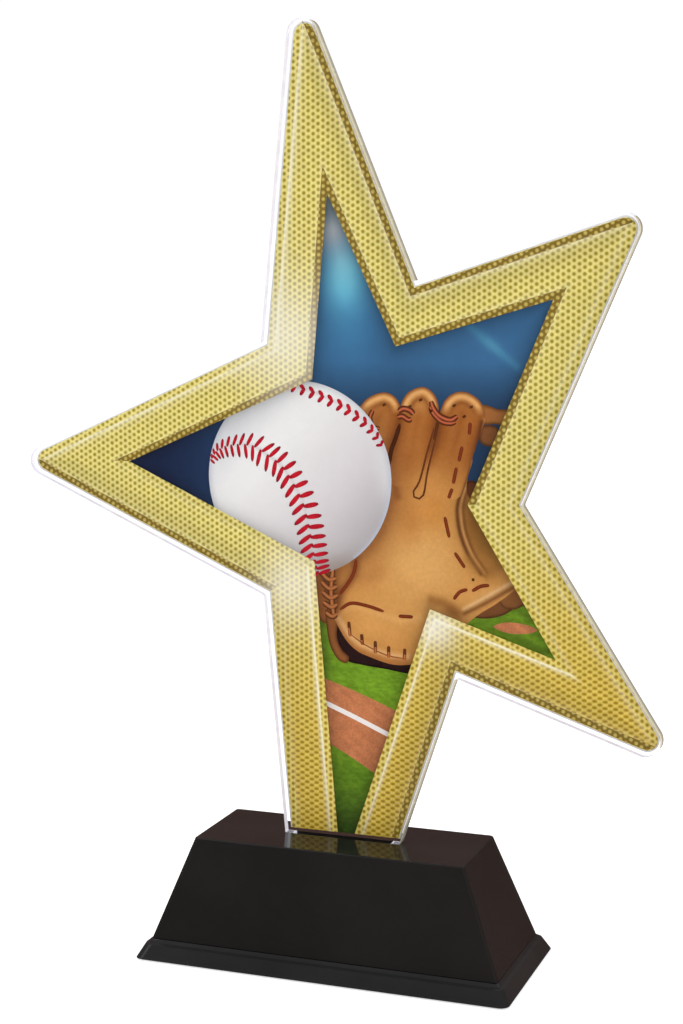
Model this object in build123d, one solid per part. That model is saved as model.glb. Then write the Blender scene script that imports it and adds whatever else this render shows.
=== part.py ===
from build123d import *
import math
import os

# Star trophy: a clear star plate with a printed rear face, pushed into the slot of a weighted, hollow base.
# Millimetres. +Z is up, -Y is the printed picture's front, +X is to the right of someone facing it.
# The origin is the centre of the base on the surface that it stands on.

# Star plate
STAR_WIDTH = 147.2  # sharp left corner to sharp lower right corner of the printed star
STAR_HEIGHT = 179.3  # base top to the sharp upper corner of the printed star
PLATE_THICKNESS = 3.0
CLEAR_MARGIN = 1.0  # unprinted border all round the print
TIP_RADIUS = 2.3  # rounding of the print's arm tips; the plate's edge runs parallel to it
NOTCH_RADIUS = 0.5  # left by the cutter where two arms meet
SHOULDER = 2.0  # step at each side of the tab, which rests on the base
TAB_LEAD = 1.5  # chamfer that leads the tab into its slot

# Print on the rear of the plate
PRINT_THICKNESS = 0.12
BACKING_THICKNESS = 0.2
WHITE_EDGE = 0.35  # how far the white backing shows round the gold
PRINT_FOOT_GAP = 0.7  # print's lower edge above the base top

# Base cap
BASE_HEIGHT = 26.4
CAP_TOP_LENGTH = 60.6
CAP_TOP_DEPTH = 23.3
CAP_FOOT_LENGTH = 77.8
CAP_FOOT_DEPTH = 31.8
CAP_CORNER_RADIUS = 1.0
CAP_EDGE_ROUND = 0.4
CAP_WALL = 2.0
SLOT_CLEARANCE = 0.05  # each face of the plate: a push fit
SLOT_END_CLEARANCE = 0.4
SOCKET_WALL = 1.6
RIB_THICKNESS = 1.4
RIB_DEPTH = 7.0
RIB_SPACING = 16.0

# Base plinth
FLANGE_LENGTH = 83.7
FLANGE_DEPTH = 37.9
FLANGE_CORNER_RADIUS = 2.0
FLANGE_HEIGHT = 3.2  # table to the flange's upper edge
FLANGE_DRAFT = 1.6  # how far the flange's face leans in
LEDGE_RISE = 0.9  # the ledge climbs in a shallow cove from the flange's edge to the cap's foot
LEDGE_COVE = 0.8  # width of the cove's flatter, outer half
SHADOW_GAP = 0.2  # open line between ledge and cap
PLINTH_FLOOR = 2.0
LIP_HEIGHT = 3.0
LIP_WALL = 1.4
LIP_CLEARANCE = 0.25

# Screws
SCREW_X = 29.0
SCREW_Y = 7.4
SCREW_RADIUS = 1.3
SCREW_LENGTH = 9.0
SCREW_HEAD_RADIUS = 2.5
SCREW_HEAD_HEIGHT = 1.3
SCREW_DRIVE_RADIUS = 1.0
SCREW_DRIVE_DEPTH = 0.7
SCREW_FIT = 0.05  # radial, in the pilot hole and the countersink
BOSS_RADIUS = 2.9

# Weight and pads
BALLAST_THICKNESS = 4.0
FOAM_THICKNESS = 3.4
BALLAST_CLEARANCE = 0.5
FOAM_LENGTH = 40.0
FOAM_DEPTH = 15.0
PAD_THICKNESS = 1.0
PAD_PROUD = 0.3  # how far the pad stands out of the underside
PAD_INSET = 3.0  # flange edge to the pad's recess
PAD_CLEARANCE = 0.3

# Heights that follow
CAP_FOOT_Z = FLANGE_HEIGHT + LEDGE_RISE + SHADOW_GAP
FLOOR_TOP_Z = PAD_THICKNESS + PLINTH_FLOOR
CAP_CEILING_Z = BASE_HEIGHT - CAP_WALL
SOCKET_BOTTOM_Z = FLOOR_TOP_Z + BALLAST_THICKNESS + FOAM_THICKNESS
SLOT_BOTTOM_Z = SOCKET_BOTTOM_Z + SOCKET_WALL
TAB_DEPTH = BASE_HEIGHT - SLOT_BOTTOM_Z - SLOT_END_CLEARANCE
LIP_TOP_Z = CAP_FOOT_Z + LIP_HEIGHT
SCREW_SPOTS = [(x, y) for x in (-SCREW_X, SCREW_X) for y in (-SCREW_Y, SCREW_Y)]

# Sharp corners of the printed star and of the picture window in it, anticlockwise from the upper tip, tips and
# notches in turn. Across is a share of STAR_WIDTH from the base's middle, up a share of STAR_HEIGHT from the base
# top. The star leans to the left, its arms are all unlike, and its foot tip would lie inside the base.
STAR_CORNERS = [
    (-0.066, 1.000),
    (-0.116, 0.591),
    (-0.519, 0.444),
    (-0.115, 0.295),
    (-0.048, -0.320),
    (0.168, 0.214),
    (0.481, 0.127),
    (0.259, 0.412),
    (0.430, 0.744),
    (0.106, 0.659),
]
WINDOW_CORNERS = [
    (-0.024, 0.767),
    (-0.048, 0.551),
    (-0.342, 0.446),
    (-0.046, 0.334),
    (-0.006, -0.048),
    (0.130, 0.285),
    (0.314, 0.235),
    (0.185, 0.410),
    (0.305, 0.646),
    (0.078, 0.591),
]


# Star outlines


def placed(corners):
    """Corner shares as points (x, z) in millimetres."""
    return [(across * STAR_WIDTH, BASE_HEIGHT + up * STAR_HEIGHT) for across, up in corners]


def grown(points, margin):
    """The corners of an anticlockwise outline after each side has moved outwards by a margin."""
    moved = []
    for index, (x, z) in enumerate(points):
        before = points[index - 1]
        after = points[(index + 1) % len(points)]
        in_angle = math.atan2(z - before[1], x - before[0])
        out_angle = math.atan2(after[1] - z, after[0] - x)
        middle = (in_angle + out_angle) / 2
        half_turn = (out_angle - in_angle) / 2
        if abs(half_turn) > math.pi / 2:
            middle += math.pi
            half_turn -= math.copysign(math.pi, half_turn)
        reach = margin / math.cos(half_turn)
        moved.append((x + reach * math.sin(middle), z - reach * math.cos(middle)))
    return moved


def foot_ends(points):
    """Where the two sides of the lower arm cross the base top, left then right."""
    ends = []
    for (top_x, top_z), (tip_x, tip_z) in ((points[3], points[4]), (points[5], points[4])):
        share = (top_z - BASE_HEIGHT) / (top_z - tip_z)
        ends.append(top_x + share * (tip_x - top_x))
    return ends


def star_face(points, tip_radius, notch_radius, floor_z):
    """A star with rounded tips and notches, cut off level at its foot, drawn on the upright plane Y = 0."""
    radii = [tip_radius, notch_radius] * (len(points) // 2)
    outline = make_face(FilletPolyline(*points, radius=radii, close=True))
    reach = 2 * STAR_WIDTH + 2 * STAR_HEIGHT
    above = Pos(0, floor_z + reach / 2) * Rectangle(reach, reach)
    return Plane.XZ * (outline & above)


def sheet(face, back_y, thickness):
    """A face of the upright plane made into a sheet whose rear face lies at back_y."""
    return extrude(Pos(0, back_y, 0) * face, amount=thickness, dir=(0, -1, 0))


PRINT_STAR = placed(STAR_CORNERS)
PLATE_STAR = grown(PRINT_STAR, CLEAR_MARGIN)
WINDOW_STAR = placed(WINDOW_CORNERS)
FOOT_LEFT, FOOT_RIGHT = foot_ends(PLATE_STAR)
TAB_WIDTH = FOOT_RIGHT - FOOT_LEFT - 2 * SHOULDER
TAB_X = (FOOT_LEFT + FOOT_RIGHT) / 2
PLATE_BACK_Y = PLATE_THICKNESS / 2
PRINT_BACK_Y = PLATE_BACK_Y + PRINT_THICKNESS
PRINT_FOOT_Z = BASE_HEIGHT + PRINT_FOOT_GAP


def make_star_plate():
    """Clear plate: the star, and below its foot a tab with chamfered lower corners."""
    star = star_face(PLATE_STAR, TIP_RADIUS + CLEAR_MARGIN, NOTCH_RADIUS, BASE_HEIGHT)
    half = TAB_WIDTH / 2
    low = -TAB_DEPTH
    tab = Polygon(
        (-half, 0),
        (-half, low + TAB_LEAD),
        (-half + TAB_LEAD, low),
        (half - TAB_LEAD, low),
        (half, low + TAB_LEAD),
        (half, 0),
        align=None,
    )
    return sheet(star + Plane.XZ * (Pos(TAB_X, BASE_HEIGHT) * tab), PLATE_BACK_Y, PLATE_THICKNESS)


def print_faces():
    """The gold border and, in its window, the picture. Both end at the print's lower edge."""
    window = star_face(WINDOW_STAR, 0, 0, PRINT_FOOT_Z)
    whole = star_face(PRINT_STAR, TIP_RADIUS, 0, PRINT_FOOT_Z)
    return whole - window, window


def make_gold_border_film():
    return sheet(print_faces()[0], PRINT_BACK_Y, PRINT_THICKNESS)


def make_picture_film():
    return sheet(print_faces()[1], PRINT_BACK_Y, PRINT_THICKNESS)


def make_backing_film():
    """White film over the whole print, a little larger than it."""
    points = grown(PRINT_STAR, WHITE_EDGE)
    face = star_face(points, TIP_RADIUS + WHITE_EDGE, 0, PRINT_FOOT_Z)
    return sheet(face, PRINT_BACK_Y + BACKING_THICKNESS, BACKING_THICKNESS)


# Base


def frustum(low_size, high_size, low_z, high_z, radius):
    """A block with sloping sides and rounded upright edges between two level rounded rectangles."""
    low = Pos(0, 0, low_z) * RectangleRounded(*low_size, radius)
    high = Pos(0, 0, high_z) * RectangleRounded(*high_size, radius)
    return loft([low, high], ruled=True)


def trapezium_bar(low_width, high_width, low_z, high_z, plane, reach):
    """A long level bar, its section a trapezium on an upright plane."""
    low, high = low_width / 2, high_width / 2
    section = Polygon((-low, low_z), (low, low_z), (high, high_z), (-high, high_z), align=None)
    return extrude(plane * section, amount=reach, both=True)


def flat_sided_frustum(low_size, high_size, low_z, high_z, radius):
    """A frustum whose sides are true planes: two trapezium bars crossed, then rounded at the upright edges."""
    along = trapezium_bar(low_size[0], high_size[0], low_z, high_z, Plane.XZ, low_size[1])
    across = trapezium_bar(low_size[1], high_size[1], low_z, high_z, Plane.YZ, low_size[0])
    body = along & across
    upright = body.edges().filter_by(lambda edge: abs(edge.tangent_at(0.5).Z) > 0.1)
    return fillet(upright, radius)


def cap_size(z, inset=0.0):
    """Length and depth of the cap's outside at a height, less an inset all round."""
    share = (BASE_HEIGHT - z) / (BASE_HEIGHT - CAP_FOOT_Z)
    length = CAP_TOP_LENGTH + share * (CAP_FOOT_LENGTH - CAP_TOP_LENGTH)
    depth = CAP_TOP_DEPTH + share * (CAP_FOOT_DEPTH - CAP_TOP_DEPTH)
    return length - 2 * inset, depth - 2 * inset


def block(length, depth, low_z, high_z, x=0.0):
    """A plain block between two heights."""
    return Pos(x, 0, low_z) * Box(length, depth, high_z - low_z, align=(Align.CENTER, Align.CENTER, Align.MIN))


def post(radius, low_z, high_z):
    """An upright round post at each screw."""
    one = Cylinder(radius, high_z - low_z, align=(Align.CENTER, Align.CENTER, Align.MIN))
    return [Pos(x, y, low_z) * one for x, y in SCREW_SPOTS]


def cap_outside():
    foot = cap_size(CAP_FOOT_Z)
    body = flat_sided_frustum(foot, cap_size(BASE_HEIGHT), CAP_FOOT_Z, BASE_HEIGHT, CAP_CORNER_RADIUS)
    return fillet(body.faces().sort_by(Axis.Z)[-1].edges(), CAP_EDGE_ROUND)


def cap_ribs():
    """Ribs under the top: one along each side of the socket's ends, and pairs across it."""
    low_z = CAP_CEILING_Z - RIB_DEPTH
    ribs = [block(CAP_FOOT_LENGTH, RIB_THICKNESS, low_z, CAP_CEILING_Z)]
    for x in (TAB_X - RIB_SPACING / 2, TAB_X + RIB_SPACING / 2):
        ribs.append(block(RIB_THICKNESS, CAP_FOOT_DEPTH, low_z, CAP_CEILING_Z, x))
    return ribs


def make_base_cap():
    """Hollow body with the plate's socket and ribs under its top, and a boss for each screw."""
    outside = cap_outside()
    hollow = frustum(
        cap_size(CAP_FOOT_Z, CAP_WALL),
        cap_size(CAP_CEILING_Z, CAP_WALL),
        CAP_FOOT_Z,
        CAP_CEILING_Z,
        CAP_CORNER_RADIUS,
    )
    slot_length = TAB_WIDTH + 2 * SLOT_END_CLEARANCE
    slot_depth = PLATE_THICKNESS + 2 * SLOT_CLEARANCE
    socket = block(
        slot_length + 2 * SOCKET_WALL,
        slot_depth + 2 * SOCKET_WALL,
        SOCKET_BOTTOM_Z,
        CAP_CEILING_Z,
        TAB_X,
    )
    into_walls = frustum(
        cap_size(CAP_FOOT_Z, CAP_WALL / 2),
        cap_size(CAP_CEILING_Z, CAP_WALL / 2),
        CAP_FOOT_Z,
        CAP_CEILING_Z,
        CAP_CORNER_RADIUS,
    )
    cap = outside - hollow
    for piece in [socket] + cap_ribs() + post(BOSS_RADIUS, CAP_FOOT_Z, CAP_CEILING_Z):
        cap += piece & into_walls
    for boss in post(BOSS_RADIUS, FLOOR_TOP_Z, CAP_FOOT_Z):
        cap += boss
    cap -= block(slot_length, slot_depth, SLOT_BOTTOM_Z, BASE_HEIGHT + 1, TAB_X)
    pilot_top = PAD_THICKNESS + SCREW_LENGTH + SCREW_FIT
    for pilot in post(SCREW_RADIUS + SCREW_FIT, FLOOR_TOP_Z, pilot_top):
        cap -= pilot
    return cap


def screw_holes(extra):
    """The through holes and their countersinks in the plinth's floor, wider than the screws by extra."""
    cone = Cone(
        SCREW_HEAD_RADIUS + extra,
        SCREW_RADIUS + extra,
        SCREW_HEAD_HEIGHT,
        align=(Align.CENTER, Align.CENTER, Align.MIN),
    )
    cones = [Pos(x, y, PAD_THICKNESS) * cone for x, y in SCREW_SPOTS]
    return cones + post(SCREW_RADIUS + extra, PAD_THICKNESS, FLOOR_TOP_Z + 1)


def make_base_plinth():
    """Flanged tray: leaning flange face, coved ledge under the cap, and a lip that locates the cap."""
    edge_length = FLANGE_LENGTH - 2 * FLANGE_DRAFT
    edge_depth = FLANGE_DEPTH - 2 * FLANGE_DRAFT
    flange = frustum(
        (FLANGE_LENGTH, FLANGE_DEPTH), (edge_length, edge_depth), PAD_PROUD, FLANGE_HEIGHT, FLANGE_CORNER_RADIUS
    )
    cove_z = FLANGE_HEIGHT + LEDGE_RISE / 3
    cove_size = (edge_length - 2 * LEDGE_COVE, edge_depth - 2 * LEDGE_COVE)
    ledge_z = FLANGE_HEIGHT + LEDGE_RISE
    cove = frustum((edge_length, edge_depth), cove_size, FLANGE_HEIGHT, cove_z, FLANGE_CORNER_RADIUS)
    ledge = frustum(cove_size, cap_size(CAP_FOOT_Z), cove_z, ledge_z, CAP_CORNER_RADIUS)
    lip_size = cap_size(LIP_TOP_Z, CAP_WALL + LIP_CLEARANCE)
    lip = frustum(lip_size, lip_size, ledge_z, LIP_TOP_Z, CAP_CORNER_RADIUS)
    well_size = (lip_size[0] - 2 * LIP_WALL, lip_size[1] - 2 * LIP_WALL)
    well = block(*well_size, FLOOR_TOP_Z, LIP_TOP_Z + 1)
    recess = block(FLANGE_LENGTH - 2 * PAD_INSET, FLANGE_DEPTH - 2 * PAD_INSET, 0, PAD_THICKNESS)
    plinth = flange + cove + ledge + lip - well - recess
    for hole in screw_holes(SCREW_FIT):
        plinth -= hole
    for boss in post(BOSS_RADIUS + LIP_CLEARANCE, FLOOR_TOP_Z, LIP_TOP_Z + 1):
        plinth -= boss
    return plinth


def make_ballast_plate():
    """Steel plate on the plinth's floor, between the bosses and the lip."""
    length = 2 * (SCREW_X - BOSS_RADIUS - BALLAST_CLEARANCE)
    lip_depth = cap_size(LIP_TOP_Z, CAP_WALL + LIP_CLEARANCE + LIP_WALL)[1]
    plate = block(length, lip_depth - 2 * BALLAST_CLEARANCE, FLOOR_TOP_Z, FLOOR_TOP_Z + BALLAST_THICKNESS)
    return chamfer(plate.edges().filter_by(Axis.Z), BALLAST_CLEARANCE)


def make_ballast_pad():
    """Foam between the weight and the underside of the socket."""
    return block(FOAM_LENGTH, FOAM_DEPTH, FLOOR_TOP_Z + BALLAST_THICKNESS, SOCKET_BOTTOM_Z)


def make_cap_screws():
    """Four countersunk self-tapping screws with pointed ends and a cross recess in the head."""
    head = Cone(SCREW_HEAD_RADIUS, SCREW_RADIUS, SCREW_HEAD_HEIGHT, align=(Align.CENTER, Align.CENTER, Align.MIN))
    shank_length = SCREW_LENGTH - SCREW_RADIUS
    shank = Cylinder(SCREW_RADIUS, shank_length, align=(Align.CENTER, Align.CENTER, Align.MIN))
    point = Pos(0, 0, shank_length) * Cone(
        SCREW_RADIUS, SCREW_RADIUS / 4, SCREW_RADIUS, align=(Align.CENTER, Align.CENTER, Align.MIN)
    )
    screw = head + shank + point
    for turn in (0, 90):
        bar = Box(2 * SCREW_DRIVE_RADIUS, SCREW_DRIVE_RADIUS / 2, 2 * SCREW_DRIVE_DEPTH)
        screw -= Rot(0, 0, turn) * bar
    return Compound(children=[Pos(x, y, PAD_THICKNESS) * screw for x, y in SCREW_SPOTS])


def make_base_pad():
    """Thin foam sheet in the underside's recess, which the trophy stands on."""
    inset = PAD_INSET + PAD_CLEARANCE
    return block(FLANGE_LENGTH - 2 * inset, FLANGE_DEPTH - 2 * inset, 0, PAD_THICKNESS)


PARTS = {
    "star_plate": make_star_plate,
    "gold_border_film": make_gold_border_film,
    "picture_film": make_picture_film,
    "backing_film": make_backing_film,
    "base_cap": make_base_cap,
    "base_plinth": make_base_plinth,
    "ballast_plate": make_ballast_plate,
    "ballast_pad": make_ballast_pad,
    "cap_screws": make_cap_screws,
    "base_pad": make_base_pad,
}

os.makedirs("parts", exist_ok=True)
for name, make in PARTS.items():
    export_step(make(), f"parts/{name}.step")
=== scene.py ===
import logging
from dataclasses import dataclass
from enum import Enum
from math import cos, pi, radians, sin
from typing import Callable, Optional, Sequence, Union

import bmesh
import bpy
import numpy as np
from mathutils import Matrix, Vector


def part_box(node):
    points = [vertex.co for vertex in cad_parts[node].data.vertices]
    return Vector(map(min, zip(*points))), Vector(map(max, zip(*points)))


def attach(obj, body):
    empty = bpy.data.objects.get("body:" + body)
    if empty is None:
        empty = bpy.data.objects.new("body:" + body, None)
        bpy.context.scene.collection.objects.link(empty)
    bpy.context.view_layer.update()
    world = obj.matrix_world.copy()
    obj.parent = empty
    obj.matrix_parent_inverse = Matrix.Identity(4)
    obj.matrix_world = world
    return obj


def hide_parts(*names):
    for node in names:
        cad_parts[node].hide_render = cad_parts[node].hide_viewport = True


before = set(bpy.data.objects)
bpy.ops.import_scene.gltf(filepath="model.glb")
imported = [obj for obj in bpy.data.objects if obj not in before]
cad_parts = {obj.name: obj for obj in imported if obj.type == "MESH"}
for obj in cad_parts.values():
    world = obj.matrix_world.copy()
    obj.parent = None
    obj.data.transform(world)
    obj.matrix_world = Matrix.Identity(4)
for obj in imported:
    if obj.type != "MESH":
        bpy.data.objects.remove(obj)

log = logging.getLogger("star_trophy")
MM = 0.001
STEP = 0.01 * MM  # from one printed layer to the next
LIFT = 0.001 * MM  # between grids that cross within a layer, in turns of LIFTS
LIFTS = 4
Points = np.ndarray
Number = Union[int, float]
Rgb = tuple[Number, Number, Number]
Material, Piece = bpy.types.Material, bpy.types.Object


def linear(rgb: Union[Rgb, Points]) -> Points:
    """Turns paint-card colours, 0 to 255 in each part, into linear light with full alpha."""
    c = np.clip(np.asarray(rgb, float) / 255, 0, 1)
    c = np.where(c <= 0.04045, c / 12.92, ((c + 0.055) / 1.055) ** 2.4)
    return np.concatenate([c, np.ones_like(c[..., :1])], -1)


# ---- shader building


def math_node(operation: str, swapped: bool = False) -> Callable[..., "Wire"]:
    """Makes a method of Wire that adds one Math node.

    Args:
        operation: The node's operation.
        swapped: Whether the wire comes last, as in 1 - mask.

    Returns:
        The method.
    """

    def method(self: "Wire", *other: Union["Wire", Number]) -> "Wire":
        """Adds the node on this wire and on the other value, where it takes one."""
        values = (*other, self) if swapped else (self, *other)
        return self.graph.node("ShaderNodeMath", {"operation": operation}, dict(enumerate(values)))

    return method


class Wire:
    """One output socket of a shader node, with arithmetic that adds Math nodes."""

    __add__ = __radd__ = math_node("ADD")
    __mul__ = __rmul__ = math_node("MULTIPLY")
    __sub__, __rsub__ = math_node("SUBTRACT"), math_node("SUBTRACT", swapped=True)
    fract, root = math_node("FRACT"), math_node("SQRT")
    least, most = math_node("MINIMUM"), math_node("MAXIMUM")

    def __init__(self, graph: "Graph", socket: bpy.types.NodeSocket) -> None:
        """Keeps the graph it belongs to and its socket."""
        self.graph, self.socket = graph, socket

    def step(self, low: float, high: float, out: tuple[float, float] = (0.0, 1.0)) -> "Wire":
        """Rises smoothly from out[0] at low to out[1] at high, and stays level outside them.

        Args:
            low: Value at which the rise starts.
            high: Value at which it ends; may be less than low for a fall.
            out: Values before and after the rise.

        Returns:
            The eased value.
        """
        if high < low:
            low, high, out = high, low, (out[1], out[0])
        return self.graph.node(
            "ShaderNodeMapRange",
            {"interpolation_type": "SMOOTHSTEP", "clamp": True},
            {"Value": self, "From Min": low, "From Max": high, "To Min": out[0], "To Max": out[1]},
        )


Value = Union[Wire, Number, tuple]


class Graph:
    """The node tree of a new material or world, with one method that adds any node."""

    def __init__(self, name: str, world: bool = False) -> None:
        """Starts with nothing but an output node."""
        self.owner = (bpy.data.worlds if world else bpy.data.materials).new(name)
        self.owner.use_nodes = True
        self.tree = self.owner.node_tree
        self.tree.nodes.clear()
        self.out = self.tree.nodes.new("ShaderNodeOutputWorld" if world else "ShaderNodeOutputMaterial")

    def node(
        self,
        kind: str,
        settings: Optional[dict] = None,
        inputs: Optional[dict] = None,
        out: Union[int, str] = 0,
    ) -> Wire:
        """Adds a node: its settings first, then its sockets' values or links.

        Args:
            kind: Blender's node type.
            settings: Properties of the node; "stops" holds a colour ramp's places and colours.
            inputs: Values or wires, by socket name or number.
            out: The output socket that is wanted.

        Returns:
            That output socket.
        """
        made = self.tree.nodes.new(kind)
        for key, value in (settings or {}).items():
            if key == "stops":
                marks = made.color_ramp.elements
                for n, (at, colour) in enumerate(value):
                    mark = marks[n] if n < 2 else marks.new(at)
                    mark.position, mark.color = at, colour
            else:
                setattr(made, key, value)
        for key, value in (inputs or {}).items():
            if isinstance(value, Wire):
                self.tree.links.new(value.socket, made.inputs[key])
            else:
                made.inputs[key].default_value = value
        return Wire(self, made.outputs[out])

    def axes(self) -> tuple[Wire, ...]:
        """Object coordinates as three numbers, in millimetres."""
        place = self.node("ShaderNodeTexCoord", out="Object")
        scaled = self.node("ShaderNodeVectorMath", {"operation": "SCALE"}, {0: place, "Scale": 1 / MM})
        split = self.node("ShaderNodeSeparateXYZ", {}, {0: scaled}).socket.node
        return tuple(Wire(self, socket) for socket in split.outputs)

    def grain(self, per_metre: float, detail: float = 3.0, stretch: tuple = (1, 1, 1)) -> Wire:
        """Noise around 0.5 on Object coordinates.

        Args:
            per_metre: Lumps in a metre.
            detail: Octaves of finer noise.
            stretch: Scale of the coordinates on each axis.

        Returns:
            The noise.
        """
        place = self.node("ShaderNodeTexCoord", out="Object")
        mapped = self.node("ShaderNodeMapping", {}, {"Vector": place, "Scale": stretch})
        noise = {"Vector": mapped, "Scale": per_metre, "Detail": detail, "Roughness": 0.55}
        return self.node("ShaderNodeTexNoise", {}, noise)

    def value_of(self, attribute: str, out: str = "Fac") -> Wire:
        """A piece's own attribute."""
        return self.node("ShaderNodeAttribute", {"attribute_name": attribute}, out=out)

    def blend(self, amount: Value, a: Value, b: Value, how: str = "MIX") -> Wire:
        """Mixes two colours.

        Args:
            amount: Share of the second one.
            a: The first: a wire, a paint-card colour, or linear light with its alpha.
            b: The second.
            how: The Mix node's way.

        Returns:
            The mixed colour.
        """
        a, b = (linear(c) if isinstance(c, tuple) and len(c) == 3 else c for c in (a, b))
        kind = {"data_type": "RGBA", "blend_type": how, "clamp_factor": True}
        return self.node("ShaderNodeMix", kind, {0: amount, 6: a, 7: b}, out=2)

    def dimmed(self, colour: Wire, level: Wire) -> Wire:
        """A colour times the grey of this level."""
        grey = self.node("ShaderNodeCombineColor", {}, {0: level, 1: level, 2: level})
        return self.blend(1.0, colour, grey, "MULTIPLY")

    def bump(self, height: Wire, distance: float, strength: float) -> Wire:
        """A normal bent by a height pattern, distance metres deep."""
        return self.node("ShaderNodeBump", {}, {"Height": height, "Distance": distance, "Strength": strength})

    def principled(self, **sockets: Value) -> Wire:
        """A Principled shader with these sockets, named with underscores."""
        return self.node("ShaderNodeBsdfPrincipled", {}, {k.replace("_", " "): v for k, v in sockets.items()})

    def end(self, shader: Wire) -> Union[Material, bpy.types.World]:
        """Links the last shader to the output."""
        self.tree.links.new(shader.socket, self.out.inputs[0])
        return self.owner

    def finish(self, **sockets: Value) -> Material:
        """Ends the material in a Principled shader with these sockets."""
        return self.end(self.principled(**sockets))


# ---- finishes


@dataclass(frozen=True)
class ClearAcrylic:
    """Cast clear acrylic sheet that lets light through to the print behind it."""

    name: str = "clear_acrylic"
    tint: Rgb = (252, 252, 253)
    ior: float = 1.49
    polish: tuple[float, float] = (0.0, 0.012)

    def build(self) -> Material:
        """Polished refracting sheet, open to shadow and bounced light."""
        g = Graph(self.name)
        polish = g.grain(60, 2).step(0.35, 0.75, self.polish)
        glass = g.principled(
            Base_Color=linear(self.tint),
            Roughness=polish,
            IOR=self.ior,
            Transmission_Weight=1.0,
            Specular_IOR_Level=0.5,
        )
        clear = g.node("ShaderNodeBsdfTransparent", {}, {0: (1, 1, 1, 1)})
        shadow = g.node("ShaderNodeLightPath", out="Is Shadow Ray")
        bounced = g.node("ShaderNodeLightPath", out="Is Diffuse Ray")
        return g.end(g.node("ShaderNodeMixShader", {}, {0: shadow.most(bounced), 1: glass, 2: clear}))

    def bonded(self) -> Material:
        """The rear face, wetted by the ink bonded to it, so that it neither bends nor mirrors light."""
        g = Graph(self.name + "_bonded")
        tint = g.blend(g.grain(60, 2).step(0.35, 0.75), (1, 1, 1, 1), (0.995, 0.995, 0.998, 1))
        return g.end(g.node("ShaderNodeBsdfTransparent", {}, {0: tint}))


@dataclass(frozen=True)
class CutEdge:
    """The sheet's polished cut edge, with painted light: a tint for the light seen through it, and a painted
    glow.
    """

    name: str
    front: Rgb
    rear: Rgb
    # strength of the painted glow that the edge gives off
    glow: float

    def build(self) -> Material:
        """The painted-light tint runs from front to rear, and fine saw marks vary its colour and its gloss.
        """
        g = Graph(self.name)
        _, deep, _ = g.axes()
        marks = g.grain(260, 3, (1, 0.15, 1))
        tint = g.blend(deep.step(-0.9, 0.5), self.front, self.rear)
        colour = g.dimmed(tint, marks.step(0.3, 0.7, (0.95, 1.03)))
        return g.finish(
            Base_Color=colour,
            Roughness=marks.step(0.3, 0.7, (0.12, 0.3)),
            Specular_IOR_Level=0.3,
            # painted glow: the edge gives off its own colour as light, though it is no lamp
            Emission_Color=colour,
            Emission_Strength=self.glow,
        )


@dataclass(frozen=True)
class GoldMesh:
    """Gold ink printed as a fine honeycomb grille: pale above, deeper and woven towards the foot."""

    column: float = 1.09
    pitch: float = 1.345
    pale: Rgb = (226, 210, 120)
    pale_hole: Rgb = (152, 136, 26)
    deep: Rgb = (208, 176, 52)
    deep_hole: Rgb = (154, 120, 4)
    gleam: Rgb = (218, 188, 76)
    rim: Rgb = (218, 198, 96)
    brown: Rgb = (130, 103, 6)
    bead: Rgb = (206, 184, 90)
    wall: Rgb = (246, 236, 176)
    ridge: Rgb = (250, 244, 214)
    glare: Rgb = (252, 249, 238)
    fade: tuple[float, float] = (38.0, 100.0)
    woven: tuple[float, float] = (74.0, 44.0)
    foot: tuple[float, float] = (46.0, 26.0)
    lean: float = 0.25
    hole: tuple[float, float] = (0.54, 0.20)
    between: tuple[float, float] = (0.58, 0.74)
    below: float = 0.52
    shaded: tuple[float, float] = (0.93, 0.84)

    def reach(self, x: Wire, z: Wire, flat: float = 1.0) -> Wire:
        """Distance to the nearest hole: the lesser of two rectangular grids of holes, half a cell apart.

        Args:
            x: Place across, in millimetres.
            z: Place up, in millimetres.
            flat: How much wider than round the holes are, and how much lower.

        Returns:
            The distance, in millimetres.
        """
        grids = []
        for shift in (0.5, 1.0):
            across = ((x * (0.5 / self.column) + shift).fract() - 0.5) * (2 * self.column / flat)
            up = ((z * (1 / self.pitch) + shift).fract() - 0.5) * (self.pitch * flat)
            grids.append(across * across + up * up)
        return grids[0].least(grids[1]).root()

    def build(self) -> Material:
        """Holes, walls and gleams by distance; attributes shade strips, ridges and glow."""
        g = Graph("gold_mesh_print")
        x, _, z = g.axes()
        face, tone, ridge, glow = (g.value_of(name) for name in ("face", "tone", "ridge", "glow"))
        reach = self.reach(x, z)
        slant = z - x * self.lean
        height = slant.step(*self.fade)
        woven = slant.step(*self.woven) * face
        hole = reach.step(*self.hole) * (1 - woven) + self.reach(x, z, 1.3).step(*self.hole) * woven
        lit = g.blend(height, self.deep, self.pale)
        lit = g.blend(woven * self.reach(x, z + self.below).step(0.56, 0.15), lit, self.gleam)
        lit = g.blend((1 - face) * (1 - height), lit, self.rim)
        lit = g.blend(reach.step(*self.between) * 0.35, lit, self.wall)
        shaded = (1 - face) * tone.step(*self.shaded)
        lit = g.blend(shaded, lit, self.brown)
        dark = g.blend(shaded, g.blend(height, self.deep_hole, self.pale_hole), self.bead)
        ink = g.grain(900, 2).step(0.3, 0.7, (0.93, 1.05))
        colour = g.dimmed(g.blend(hole, lit, dark), tone.most(0.86) * ink * z.step(*self.foot, (1.0, 1.22)))
        colour = g.blend(glow, g.blend(ridge, colour, self.ridge), self.glare)
        return g.finish(
            Base_Color=colour,
            Roughness=hole.step(0.0, 1.0, (0.34, 0.5)),
            Specular_IOR_Level=0.3,
            Normal=g.bump(1 - hole, 0.00004, 0.4),
        )


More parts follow.
